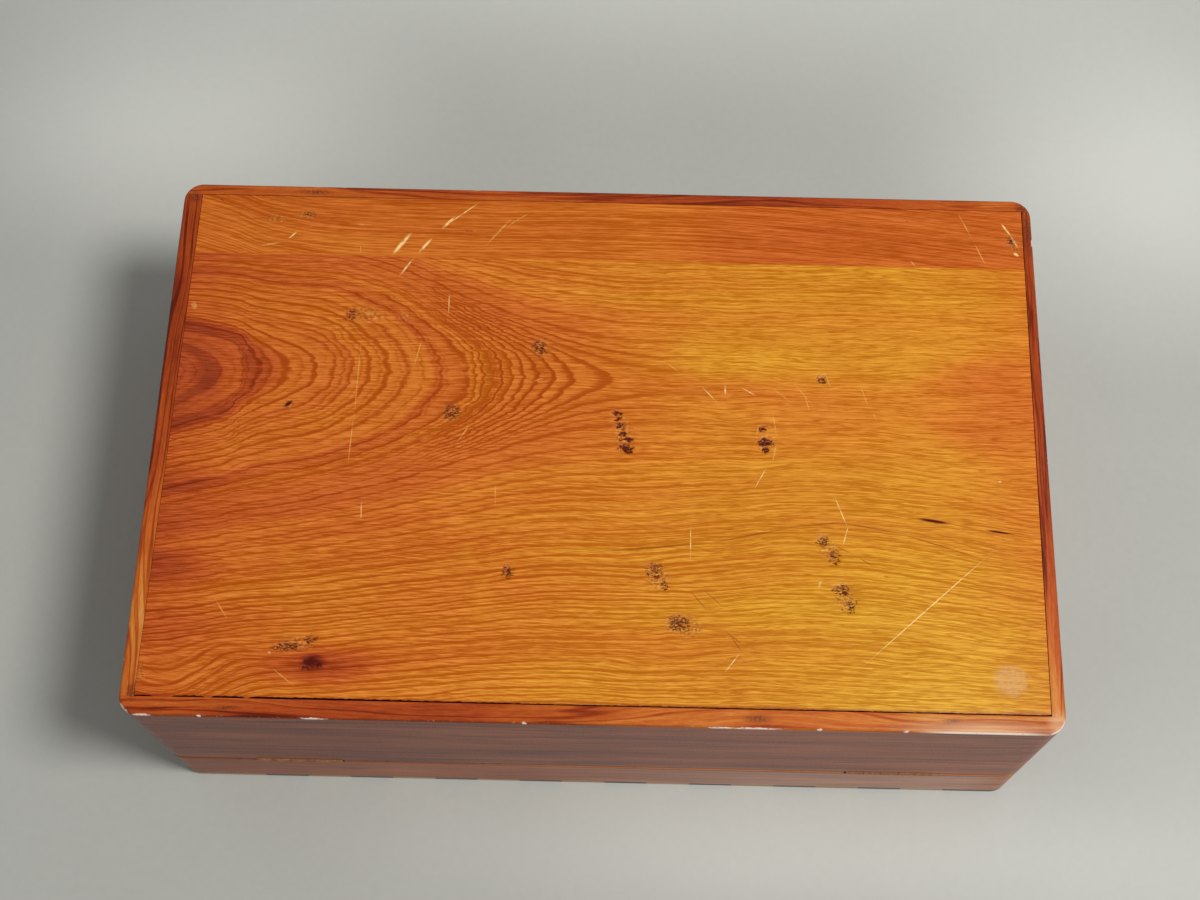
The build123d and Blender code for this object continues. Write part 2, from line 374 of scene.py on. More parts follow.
# Marks on the underside, in millimetres. A worn spot is (x, y, half width, half height, turn).
PITS = [
    (-42, 8.4, 2.9, 2.9, 0), (-18, 29, 2.4, 3.2, 20), (-72.6, 37.8, 1.6, 2.6, 0),
    (62.4, 20.6, 1.5, 1.6, 0), (-24, -38.4, 1.6, 2.2, 0),
    (15.8, -37.4, 2.4, 3.0, 10), (18.4, -41.4, 1.6, 2.0, 0), (22.6, -52.0, 3.6, 2.8, -15),
    (61.8, -27.8, 2.1, 1.7, 0), (64.6, -32.2, 2.0, 2.8, 0),
    (66.6, -41.6, 3.0, 2.0, 0), (68.8, -46.2, 2.2, 2.4, 0),
    (-82, -60.6, 5.4, 1.5, 5), (-75.6, -58.8, 2.4, 1.7, 0),
]
BURNS = [
    (4.4, 9.0, 1.5, 0.9, 0), (4.6, 7.2, 1.1, 0.7, 0), (5.6, 5.0, 1.7, 1.0, 0), (6.4, 2.8, 1.5, 0.8, 0),
    (7.4, 1.2, 2.6, 0.9, 0), (7.2, -1.4, 2.4, 1.2, 0), (7.8, -2.6, 1.2, 0.8, 0),
    (46.2, 1.0, 2.9, 1.7, 0), (45.2, 5.0, 1.2, 0.8, 0), (46.6, -1.2, 1.6, 0.9, 0),
    (-75.4, -64.4, 2.4, 1.3, 0), (-73.0, -65.6, 1.4, 0.8, 0), (-76.2, -66.4, 1.2, 0.6, 0),
]
SCUFFS = [
    (-42, 8.4, 3.8, 3.6, 0), (-17.6, 28.8, 4.0, 4.8, 20), (-68.5, 38.2, 7.5, 3.2, -8),
    (62.4, 20.8, 2.4, 2.8, 0), (16.8, -39.0, 4.4, 5.4, 10), (24.4, -52.6, 7.0, 4.2, -10),
    (63.4, -30.2, 3.2, 5.0, 12), (67.4, -43.6, 4.0, 5.0, 0), (-80, -60.2, 7.5, 2.8, 6),
    (-88, 9.4, 2.4, 1.8, 35), (46.2, 1.4, 3.8, 3.0, 0), (-120.0, -69.0, 1.0, 4.0, 0),
    (6.6, 3.2, 3.6, 6.6, 12), (46.0, 5.4, 2.4, 2.2, 0), (-57, 37.6, 3.0, 2.4, 0),
]
STAINS = [(111, -65.6, 5.8, 5.4, 0)]
SLITS = [(92.2, -21.2, 5.6, 0.6, -8), (110.2, -24, 4.6, 0.45, -8), (-88, 9.6, 1.8, 0.8, 38)]

# Scratches, as both ends and half the width; the faint ones hardly break the varnish
BOARD_SCRATCHES = [
    (65.0, -14.0, 68.9, -24.5, 0.2), (69.0, -22.5, 67.0, -29.6, 0.2), (112, -26, 68, -66, 0.2),
    (25.6, -23, 25.6, -35, 0.16), (39.6, -59, 34.6, -65.6, 0.2), (28, 18, 33.2, 12.4, 0.16),
    (39, 18, 44, 15, 0.16), (35, 18.6, 35, 15.2, 0.34), (-55.6, 57.0, -60.0, 50.0, 0.36),
    (-65.2, -18.6, -64.8, -25.0, 0.16), (61, -39, 60.4, -41, 0.4), (111.2, -8.8, 111.2, -9.6, 0.5),
    (-86.8, -62.0, -85.8, -62.8, 0.5), (-44.8, 46.4, -44.6, 38.2, 0.15), (46.8, -6.0, 42.8, -13.4, 0.16),
]
FAINT_SCRATCHES = [
    (48.2, 11.6, 49.5, 2.0, 0.24), (49.5, 2.0, 48.0, -6.0, 0.24), (44.6, 7.2, 43.6, 1.8, 0.2),
    (-118.6, 41.4, -117.4, 38.2, 1.1), (54, 20, 60, 12, 0.2), (57, 17, 59, 10, 0.18),
    (63, 24, 65.4, 16, 0.18), (-28.6, -12.4, -28.2, -20.4, 0.22), (-51.4, 31.8, -53.8, 20.6, 0.22),
    (-69, 34, -69.2, 4, 0.2), (-69.3, 8.0, -69.8, -10.0, 0.22), (18, 25, 22, 22, 0.22),
    (48, 18, 54, 13, 0.22), (73, 20, 75.4, 12, 0.22), (76.6, 11, 77.6, 7.8, 0.2),
    (-103, -47, -98, -54, 0.22), (-86, -66, -78, -72, 0.24), (-36, 5.6, -40.4, -2.0, 0.22),
    (-16, 19.4, -20, 18.0, 0.22),
]
DARK_SCRATCHES = [
    (25, -42, 31, -49, 0.2), (28.4, -41.6, 35.4, -47.8, 0.2), (34, -53, 40.6, -58, 0.2),
    (64, -28.4, 70, -31.4, 0.22), (71, -32, 76, -35, 0.22), (36, -54.4, 40, -60, 0.2),
    (-4, -32.6, 34, -28.6, 0.35), (28, -29.6, 56, -23.4, 0.35), (48, -24.4, 72, -21.6, 0.3),
    (62, -21.4, 88, -25.8, 0.3), (80, -24.2, 106, -32.0, 0.3),
]

# Colours of the marks and of the board's edges, and of the painted shade on what lies below its face
STAIN_PALE = srgb(212, 168, 122)
SCUFF_TAN = srgb(176, 112, 46)
PIT_BROWN = srgb(94, 32, 6)
BURN_DARK = srgb(80, 12, 0)
SLIT_DARK = srgb(84, 6, 0)
DARK_LINE = srgb(136, 60, 4)
FAINT_LINE = srgb(244, 184, 92)
BRIGHT_LINE = srgb(252, 214, 140)
JOINT_STAIN = srgb(140, 40, 4)
SUNK_SHADE = srgb(78, 12, 3)


def spots_mask(s, point, spots, edge):
    """1 inside any of the ellipses and 0 outside them all."""
    nearest = 9.0
    for x, y, half_width, half_height, turn in spots:
        reach = ellipse_reach(s, point, x, y, half_width, half_height, turn)
        nearest = s.math("MINIMUM", nearest, reach)
    return s.remap(nearest, edge, 1.0, 1.0, 0.0)


def lines_mask(s, point, lines):
    """1 along thin lines that taper to both ends."""
    spots = []
    for x1, y1, x2, y2, half_width in lines:
        half_length = math.hypot(x2 - x1, y2 - y1) / 2
        turn = math.degrees(math.atan2(y2 - y1, x2 - x1))
        spots.append(((x1 + x2) / 2, (y1 + y2) / 2, half_length, half_width, turn))
    return spots_mask(s, point, spots, 0.3)


def worn(s, point, colour, pits=(), scuffs=(), stains=(), burns=(), slits=(), strong=(), faint=(), dark=()):
    """Adds the underside's marks to a wood: its new colour and its roughness."""
    frayed = s.shaken(point, 0.55, 4, 0.75, 7.0, 3.5)
    speckle = s.noise(s.scaled(point, (1.1, 2.6, 1)), detail=3, roughness=0.7)
    fleck = s.noise(s.scaled(point, (1.0, 1.5, 1)), detail=3, roughness=0.7)
    broken = s.remap(s.noise(point, 0.55, 2, 0.6), 0.38, 0.55, 0.35, 1.0)
    rough = VARNISH_ROUGHNESS
    if stains:
        mask = s.mul(spots_mask(s, frayed, stains, 0.5), s.remap(fleck, 0.42, 0.60, 0.25, 0.6))
        colour = s.mix(mask, colour, STAIN_PALE)
    if scuffs:
        scuffed = spots_mask(s, frayed, scuffs, 0.3)
        colour = s.mix(s.mul(scuffed, 0.3), colour, SCUFF_TAN)
        colour = s.graded(colour, s.mul(scuffed, s.remap(fleck, 0.42, 0.57, -1.2, 1.2, smooth=False)))
        rough = s.remap(scuffed, 0.0, 1.0, VARNISH_ROUGHNESS, WORN_ROUGHNESS)
    if pits:
        mask = s.mul(spots_mask(s, frayed, pits, 0.55), s.remap(speckle, 0.45, 0.53))
        colour = s.mix(mask, colour, PIT_BROWN)
    if burns:
        mask = s.mul(spots_mask(s, frayed, burns, 0.6), s.remap(speckle, 0.38, 0.46))
        colour = s.mix(mask, colour, BURN_DARK)
    if slits:
        colour = s.mix(spots_mask(s, point, slits, 0.4), colour, SLIT_DARK)
    if dark:
        colour = s.mix(s.mul(lines_mask(s, point, dark), 0.65), colour, DARK_LINE)
    if faint:
        colour = s.mix(s.mul(lines_mask(s, point, faint), s.mul(broken, 0.6)), colour, FAINT_LINE)
    if strong:
        colour = s.mix(s.mul(lines_mask(s, point, strong), broken), colour, BRIGHT_LINE)
    return colour, rough


def bare_under(s, z, colour, change):
    """Turns a bottom board's hidden face, which is the floor inside the box, to bare wood."""
    bare = s.ramp(s.add(s.mul(change, 0.12), 0.6), INSIDE_TONES)
    return s.mix(s.remap(z, BOARD_UNDER + 1.0, BOARD_UNDER + 0.5), colour, bare)


def bent_place(s, point, x, y):
    """The place with the uneven growth of the wood taken out, so that the rings there are even."""
    x_wave = wobble(s, x, y, 0.05, 0.17, 2.4, 2)
    x_ripple = wobble(s, x, y, 0.15, 0.62, 1.5, 3)
    y_wave = wobble(s, x, y, 0.018, 0.03, 1.6)
    y_ripple = wobble(s, x, y, 0.06, 0.20, 0.6)
    bent_x = s.add(s.add(x, x_wave), x_ripple)
    bent_y = s.add(s.add(y, y_wave), y_ripple)
    bent_y = s.add(bent_y, s.mul(patch(s, point, *KNOT_PULL), KNOT_BEND))
    return bent_x, s.sub(bent_y, s.mul(patch(s, point, *HUMP), HUMP_BEND))


def board_lines(s, x, y, ring, near_pith):
    """The year lines of the wide board, the bold ones and the fine ones between them."""
    stretch = s.add(ring, s.mul(s.noise(s.join(s.mul(ring, 0.14), 3.0, 0.0), detail=1), 2.5))
    nose = s.mul(s.remap(ring, 34.0, 36.0, 0.0, 1.5), s.remap(ring, 40.5, 43, 1.0, 0.0))
    nose = s.mul(nose, s.mul(s.remap(x, -55, -38), s.remap(x, 12, 30, 1.0, 0.0)))
    broken = s.grain(x, y, 0.035, 0.30, 5.0)
    strength = s.curve(ring, 0, LAST_RING, LINE_STRENGTH)

    bold = year_lines(s, stretch, RING_SPACING, 40, 0.62, 0.4)
    bold = s.mul(bold, s.remap(broken, 0.3, 0.6, 0.4, 1.0))
    bold = s.mul(s.mul(bold, strength), s.sub(1.0, s.mul(near_pith, 0.9)))
    bold = s.largest(bold, s.mul(year_lines(s, ring, FINE_SPACING, 20, 0.5, 0.45), nose))
    fine = year_lines(s, stretch, FINE_SPACING * RING_SPACING, 90, 0.45, 0.15)
    fine = s.mul(fine, s.remap(broken, 0.7, 0.35, 0.4, 1.0))
    return bold, s.mul(s.mul(fine, strength), s.sub(1.0, s.mul(near_pith, 0.7)))


def board_wood():
    """The wide board: rings cut on a slant at the left, straight golden grain at the right, and wear."""
    s = Shader("board_wood")
    point = s.point()
    x, y, z = s.split(point)
    bent_x, bent_y = bent_place(s, point, x, y)
    ring = ring_distance(s, bent_x, bent_y)
    near_pith = s.mul(s.remap(ring, 40, 47, 1.0, 0.0), s.remap(x, -10, 40))
    bold, fine = board_lines(s, x, y, ring, near_pith)

    across = s.add(bent_y, wobble(s, x, y, 0.03, 0.06, 1.6))
    streak = thin_lines(s, s.grain(x, across, 0.026, 0.8, 7.0, 3, 0.65), 0.032)
    fibre = s.grain(x, across, 0.035, 2.2, 9.0, 2, 0.65)
    speck = s.noise(s.scaled(point, (0.22, 2.8, 1)), detail=2, roughness=0.6)
    cloud = s.grain(x, y, 0.02, 0.05, 2.0, 3)
    left = s.remap(x, -50, 60, 1.0, 0.34)

    tone = s.curve(x, -HALF_WIDTH, HALF_WIDTH, BOARD_FADE)
    for patch_x, patch_y, wide, high, turn, amount in BOARD_PATCHES:
        tone = s.add(tone, s.mul(patch(s, point, patch_x, patch_y, wide, high, turn), amount))
    shade = s.mul(s.curve(ring, 0, LAST_RING, RING_SHADE), s.remap(x, -20, 90, 1.0, 0.4))
    tone = s.sub(tone, s.mul(shade, s.sub(1.0, near_pith)))
    tone = s.sub(tone, s.mul(s.mul(bold, left), 0.16))
    tone = s.add(tone, s.swing(cloud, 0.15))

    change = s.add(s.swing(fibre, 4.4), s.swing(speck, 4.4))
    change = s.add(s.mul(change, s.remap(x, -20, 70, 1.25, 0.85)), s.remap(x, -30, 50, 0.22, 0.15))
    change = s.sub(change, s.mul(s.mul(bold, left), 2.6))
    change = s.sub(change, s.mul(s.mul(fine, s.remap(x, -20, 80, 1.0, 0.7)), 2.4))
    change = s.sub(change, s.mul(s.mul(streak, s.remap(x, -30, 50)), 1.9))

    colour = s.graded(s.ramp(tone, BOARD_TONES), change)
    colour, rough = worn(s, point, colour, PITS, SCUFFS, STAINS, BURNS, SLITS, BOARD_SCRATCHES,
                         FAINT_SCRATCHES, DARK_SCRATCHES)
    near_joint = s.remap(y, BACK_JOINT + 1.2, BACK_JOINT + 0.4, 0.0, 0.55)
    colour = s.mix(near_joint, colour, JOINT_STAIN)
    # Painted shade, darker the deeper a place lies below the face: the chipped edge, the joint's side and
    # the pits
    colour = s.mix(s.remap(z, BOX_TOP - 0.7, BOX_TOP - 0.25, 0.9, 0.0), colour, SUNK_SHADE)
    colour = bare_under(s, z, colour, change)
    height = s.mul(s.noise(s.scaled(point, (0.18, 2.4, 1)), detail=3, roughness=0.7), 0.05)
    s.bump(height, 0.6)
    return s.finish(colour, rough, Specular_IOR_Level=VARNISH_SPECULAR)


# Wood of the narrow strip. STRIP_LINE is where one grain line runs, as (x, y).
STRIP_TONES = [
    (0.00, srgb(98, 34, 18)),
    (0.25, srgb(155, 62, 25)),
    (0.50, srgb(191, 87, 29)),
    (0.75, srgb(206, 110, 34)),
    (1.00, srgb(222, 143, 50)),
]
STRIP_FADE = [
    (-125, 0.61), (-85, 0.67), (-60, 0.67), (10, 0.75), (40, 0.58), (70, 0.57), (105, 0.60), (125, 0.60),
]
STRIP_LINE = [
    (-125, 77.0), (-110, 72.4), (-95, 67.2), (-75, 64.4), (-45, 64.0), (0, 64.6), (40, 63.6),
    (80, 59.6), (125, 54.0),
]
STRIP_PITS = [
    (-113.6, 74.8, 1.0, 0.6, 0), (-88.4, 70.4, 1.2, 0.9, 0), (-86.4, 70.6, 0.8, 0.9, 0),
    (-40, 66.2, 0.6, 0.6, 0), (118.2, 66.2, 1.3, 2.0, 20), (89, 72, 0.8, 0.4, 0),
]
STRIP_SCUFFS = [(-88, 70.2, 4.0, 2.2, 0), (-97, 68.6, 3.6, 1.4, 0), (118.8, 65.8, 3.0, 4.6, 15)]
STRIP_SCRATCHES = [
    (-56.6, 65.6, -62.6, 56.8, 0.8), (-44.2, 71.0, -48.8, 65.8, 0.55), (-50.6, 63.6, -54.8, 58.0, 0.55),
    (-36.6, 76.4, -48.6, 66.4, 0.24), (-90.4, 64.6, -93.2, 61.8, 0.3), (115.8, 72.6, 119.0, 67.6, 0.4),
    (118.4, 68.6, 120.6, 64.0, 0.4), (119.0, 62.6, 120.8, 61.2, 0.6),
]
STRIP_FAINT = [
    (-101.4, 59.6, -94.6, 60.8, 0.34), (-27.0, 71.6, -35.6, 60.6, 0.36), (-22.0, 73.0, -30.0, 67.0, 0.3),
    (103.2, 76.0, 107.4, 66.6, 0.26), (107.4, 66.6, 111.0, 57.6, 0.26), (88.8, 59.4, 90.4, 57.2, 0.24),
    (-74.0, 67.4, -68.0, 67.2, 0.3), (-71.6, 60.6, -71.4, 57.6, 0.2),
]


def strip_wood():
    """The narrow strip: straight grain that falls to the right, with one line that crosses its left end."""
    s = Shader("strip_wood")
    point = s.point()
    x, y, z = s.split(point)
    line_y = s.curve(x, -HALF_WIDTH, HALF_WIDTH, STRIP_LINE)
    level = s.sub(s.add(y, wobble(s, x, y, 0.02, 0.10, 0.9)), line_y)
    broken = s.grain(x, y, 0.03, 0.25, 15.0)
    bold = thin_lines(s, s.grain(level, x, 0.42, 0.004, 1.0), 0.03)
    fine = thin_lines(s, s.grain(level, x, 1.6, 0.010, 4.0, 2, 0.6), 0.06)
    fibre = s.grain(x, level, 0.03, 1.6, 19.0, 2, 0.65)
    speck = s.noise(s.scaled(point, (0.16, 2.4, 1)), detail=2, roughness=0.6)
    cloud = s.grain(x, level, 0.02, 0.12, 12.0, 3)

    pale = s.mul(s.remap(level, 0.6, -0.6), s.remap(x, -45, -20, 1.0, 0.0))
    tone = s.add(s.curve(x, -HALF_WIDTH, HALF_WIDTH, STRIP_FADE), s.mul(pale, 0.07))
    tone = s.add(tone, s.swing(cloud, 0.22))
    change = s.add(s.add(s.swing(fibre, 5.0), s.swing(speck, 4.5)), 0.1)
    change = s.sub(change, s.mul(s.mul(bold, s.remap(broken, 0.3, 0.6, 0.3, 1.0)), 1.4))
    change = s.sub(change, s.mul(fine, 0.9))

    colour = s.graded(s.ramp(tone, STRIP_TONES), change)
    colour, rough = worn(s, point, colour, STRIP_PITS, STRIP_SCUFFS, strong=STRIP_SCRATCHES,
                         faint=STRIP_FAINT)
    colour = bare_under(s, z, colour, change)
    s.bump(s.add(s.mul(fibre, 0.03), s.mul(speck, 0.02)), 0.6)
    return s.finish(colour, rough, Specular_IOR_Level=VARNISH_SPECULAR)


# Woods cut with straight grain, each from its darkest line to its palest tone
OUTSIDE_TONES = [
    (0.0, srgb(70, 24, 12)), (0.3, srgb(112, 46, 22)), (0.55, srgb(152, 72, 36)),
    (0.8, srgb(180, 100, 58)), (1.0, srgb(202, 130, 88)),
]
RIM_TONES = [
    (0.0, srgb(64, 15, 6)), (0.3, srgb(132, 44, 13)), (0.5, srgb(168, 68, 20)),
    (0.7, srgb(190, 94, 28)), (0.85, srgb(200, 120, 44)), (1.0, srgb(212, 148, 82)),
]
INSIDE_TONES = [
    (0.0, srgb(84, 40, 20)), (0.35, srgb(124, 68, 38)), (0.6, srgb(150, 90, 54)),
    (0.85, srgb(172, 112, 72)), (1.0, srgb(190, 134, 92)),
]
LIGHT_TONES = [
    (0.0, srgb(122, 88, 54)), (0.35, srgb(168, 132, 92)), (0.65, srgb(198, 166, 124)),
    (1.0, srgb(220, 192, 152)),
]
DARK_TONES = [
    (0.0, srgb(26, 19, 16)), (0.35, srgb(54, 41, 34)), (0.65, srgb(78, 60, 49)),
    (1.0, srgb(104, 82, 66)),
]
FIELD_TONES = [
    (0.0, srgb(62, 22, 12)), (0.35, srgb(102, 42, 22)), (0.65, srgb(136, 62, 34)),
    (1.0, srgb(164, 86, 50)),
]
GROUND_TONES = [
    (0.0, srgb(34, 16, 10)), (0.35, srgb(64, 32, 20)), (0.65, srgb(90, 48, 30)),
    (1.0, srgb(116, 68, 44)),
]
MIDDLE_TONE = 0.55

# Where the pith lies from each piece of straight wood, in millimetres, and how far the grain sways
PITH_ASIDE = 31.0
PITH_BELOW = 47.0
GRAIN_SWAY = 8.0


def straight_grain(s, point, along, size, seed):
    """How much paler or darker the wood is at each place, with its grain along X or Y, and a height."""
    x, y, z = s.split(point)
    if along == "Y":
        x, y = y, x
    sway = s.swing(s.grain(x, y, 0.011, 0.04, s.add(s.mul(z, 0.04), seed)), GRAIN_SWAY)
    from_pith = s.join(s.add(y, PITH_ASIDE), s.add(z, PITH_BELOW), 0.0)
    ring = s.add(s.length(from_pith), sway)
    bold = thin_lines(s, s.grain(ring, x, 0.5 * size, 0.008, seed), 0.045)
    fine = s.grain(ring, x, 2.4 * size, 0.05, s.add(s.mul(z, 0.2), seed), 3, 0.6)
    band = s.grain(ring, x, 0.13 * size, 0.012, seed + 5.0, 3)
    pore = s.grain(x, y, 0.35, 3.2, s.mul(z, 3.2), 2, 0.7)
    tone = s.add(s.add(s.swing(band, 0.9), s.swing(fine, 0.55)), s.swing(pore, 0.35))
    return s.sub(tone, s.mul(bold, 0.28)), s.mul(fine, 0.03)


def veneer(name, tones, along, size, seed, gloss=0.4):
    s = Shader(name)
    tone, height = straight_grain(s, s.point(), along, size, seed)
    s.bump(height, 0.4)
    return s.finish(s.ramp(s.add(tone, MIDDLE_TONE), tones), gloss, Specular_IOR_Level=VENEER_SPECULAR)


# Tone of each rim along its wall, as (place, tone); the back rim's rise towards its right end is partly
# painted sheen
RIM_FADE = {
    "back": [
        (-125, 0.56), (-109, 0.60), (-85, 0.52), (-61, 0.50), (-37, 0.51), (-13, 0.70), (11, 0.69),
        (35, 0.70), (50, 0.62), (66, 0.62), (80, 0.74), (105, 0.92), (125, 0.90),
    ],
    "front": [
        (-125, 0.58), (-109, 0.60), (-85, 0.58), (-50, 0.54), (-13, 0.55), (20, 0.37), (50, 0.38),
        (70, 0.44), (90, 0.55), (125, 0.64),
    ],
    "left": [(-80, 0.70), (-67, 0.75), (-55, 0.78), (-35, 0.66), (-15, 0.57), (25, 0.54), (80, 0.56)],
    "right": [
        (-80, 0.78), (-67, 0.72), (-55, 0.58), (-35, 0.47), (-15, 0.41), (25, 0.45), (56, 0.56),
        (80, 0.56),
    ],
}

# How the tone of the outer faces changes from end to end of a wall, partly the wood's own tone and partly
# painted light, most on the lid
CASE_LIFT = (-0.12, 0.08)
LID_LIFT = (0.02, 0.42)

# Chips and rubbed places along the outer edge of the underside, pale as worn wood with a painted highlight,
# as (x, y, half width, half height, turn)
RIM_CHIPS_AND_GLINTS = [
    (-123.4, -78.2, 2.6, 0.8, -45), (-118.4, -79.9, 3.0, 0.5, 0), (-103.2, -79.9, 0.6, 0.6, 0),
    (-73, -79.9, 4.0, 0.2, 0), (-125.0, -65.0, 0.5, 0.6, 0), (-17.6, -79.8, 0.8, 0.8, 0),
    (34, -79.9, 4.0, 0.25, 0), (43, -79.9, 8.0, 0.32, 0), (60, -79.9, 0.8, 0.5, 0),
    (82.6, -79.8, 0.9, 0.9, 0), (124.8, 66.0, 0.5, 1.6, 0), (122.6, 79.2, 1.2, 0.6, -40),
    (-86, 80, 2.0, 0.5, 0), (-78, 79.8, 0.6, 0.6, 0), (-38.6, 79.9, 1.6, 0.5, 0),
]
# Where the edge is rubbed smooth and carries a painted highlight, and the painted sheen around it
RIM_HIGHLIGHT = [(104, -79.8, 21.0, 0.9, 0), (122.6, -78.0, 3.6, 1.2, 45)]
PAINTED_SHEEN_SPOTS = [(102, -78.6, 30.0, 3.0, 0), (122.4, -76.6, 5.0, 3.4, 45)]
RIM_GRIME = [
    (-121.6, 75.4, 2.6, 2.6, 0), (-86.5, 77.8, 7.5, 1.0, 0), (-121.4, -73.6, 2.4, 3.6, 0),
    (43.5, -77.4, 5.5, 1.6, 0), (94.8, -77.0, 3.8, 1.3, 10), (123.6, 69.0, 2.0, 11.0, 0),
    (122.4, 77.0, 3.0, 3.0, 0), (-96, -77.6, 5.0, 0.8, 5),
]
# Dark dents on the seam at the back, as (x, half width), and half their height
SEAM_DENTS = [(-103.6, 2.6), (-60.5, 1.2), (-32.4, 1.6), (-28, 0.7), (11.6, 0.7), (60.4, 0.6), (100.4, 0.8)]
DENT_HEIGHT = 0.9

# Colours of the walls' wear, and of the highlights and shade painted on them
SEAM_RUBBED_AND_LIT = srgb(206, 156, 120)
SEAM_SHADE = srgb(96, 36, 18)
SEAM_HIGHLIGHT_ORANGE = srgb(214, 134, 80)[:3]
CREVICE_SHADE = srgb(62, 16, 8)
GRIME_BROWN = srgb(88, 38, 22)
EDGE_SHADE_PAINT = srgb(84, 22, 10)
CHIP_AND_GLINT_PALE = srgb(250, 230, 212)
PAINTED_SHEEN = srgb(232, 182, 138)
EDGE_HIGHLIGHT = srgb(252, 234, 216)
GAP_SHADE = srgb(70, 8, 2)
EDGE_RUBBED = srgb(206, 136, 92)
LID_SHEEN_PAINT = srgb(236, 216, 204)
WALL_SCUFF = srgb(176, 124, 92)
DENT_DARK = srgb(40, 14, 9)


def seam_colour(s, name, side, x, from_seam, change, colour):
    """A wall's colour near the seam: a painted highlight as an orange band on the bevels, painted shade in
    the crease and beside the band, and above the case's back seam rubbed wood with a painted highlight.
    """
    if name == "case_back_wood":
        # Rubbed wood with a painted highlight, paler towards the right
        rubbed = s.mul(s.remap(from_seam, 5.0, 1.4), s.remap(x, -60, 50, 0.0, 0.3))
        colour = s.mix(rubbed, colour, SEAM_RUBBED_AND_LIT)
    # Painted shade beside the seam
    colour = s.mix(s.remap(from_seam, 2.1, 1.8, 0.0, 0.75), colour, SEAM_SHADE)
    # Painted highlight on the bevels, stronger towards the right of the back
    strength = s.remap(x, -60, 50, 0.3, 0.85) if side == "back" else 0.6
    band = s.mul(s.remap(from_seam, 1.25, 1.05), strength)
    colour = s.mix(band, colour, s.graded(SEAM_HIGHLIGHT_ORANGE, s.mul(change, 2.0)))
    # Painted shade in the crease
    return s.mix(s.remap(from_seam, 0.45, 0.2, 0.0, 0.85), colour, CREVICE_SHADE)


def edge_colour(s, side, point, x, z, rim, outward, speckle, colour):
    """Adds the underside's outer edge: grime, pale chips that are partly a painted highlight, painted shade
    along the rounded edge and inside the joint gap, on the back and right a painted sheen and highlight,
    and rubbed wood.
    """
    frayed = s.shaken(point, 0.9, 3, 0.6, 2.0, 0.7)
    grime = s.mul(spots_mask(s, frayed, RIM_GRIME, 0.2), s.mul(rim, s.remap(speckle, 0.35, 0.6, 0.2, 0.8)))
    colour = s.mix(grime, colour, GRIME_BROWN)
    edge = s.mul(s.remap(z, BOX_TOP - 1.1, BOX_TOP - 0.8), s.remap(z, BOX_TOP - 0.05, BOX_TOP - 0.4))
    # Painted shade on the rounded outer edge, which turns away from the light; less towards the right of
    # the back, where the edge is lit
    edge_shade = s.remap(x, 5, 45, 0.4, 0.1) if side == "back" else 0.35
    colour = s.mix(s.mul(edge, edge_shade), colour, EDGE_SHADE_PAINT)
    # Pale chips, partly worn wood and partly a painted highlight on the rounded edge
    chips = s.mul(spots_mask(s, frayed, RIM_CHIPS_AND_GLINTS, 0.5), edge)
    colour = s.mix(s.mul(chips, s.remap(speckle, 0.38, 0.48, 0.3, 1.0)), colour, CHIP_AND_GLINT_PALE)
    if side in ("back", "right"):
        # Painted sheen on the rim and a painted highlight on its edge, near the back right corner
        pale = s.mul(spots_mask(s, point, PAINTED_SHEEN_SPOTS, 0.0), s.mul(rim, 0.55))
        colour = s.mix(pale, colour, PAINTED_SHEEN)
        colour = s.mix(s.mul(spots_mask(s, point, RIM_HIGHLIGHT, 0.4), edge), colour, EDGE_HIGHLIGHT)
    # Painted shade on the rim's side inside the joint gap
    joint = s.mul(s.remap(outward, -1.6, -2.0), s.remap(z, BOX_TOP - 0.12, BOX_TOP - 0.4))
    colour = s.mix(s.mul(joint, s.remap(z, BOX_TOP - 5.4, BOX_TOP - 5.2)), colour, GAP_SHADE)
    rubbed = s.mul(edge, s.remap(speckle, 0.58, 0.68, 0.0, 0.6))
    return s.mix(rubbed, colour, EDGE_RUBBED)


def dented_seam(s, x, y, z, colour):
    """Adds the dark dents along the seam, on the outer side of the back wall only."""
    on_seam = s.join(x, s.sub(z, SEAM), 0.0)
    spots = [(at, -0.1, half, DENT_HEIGHT, 0) for at, half in SEAM_DENTS]
    dents = s.mul(spots_mask(s, on_seam, spots, 0.6), s.remap(y, 2.4 - HALF_DEPTH, 1.6 - HALF_DEPTH))
    return s.mix(dents, colour, DENT_DARK)


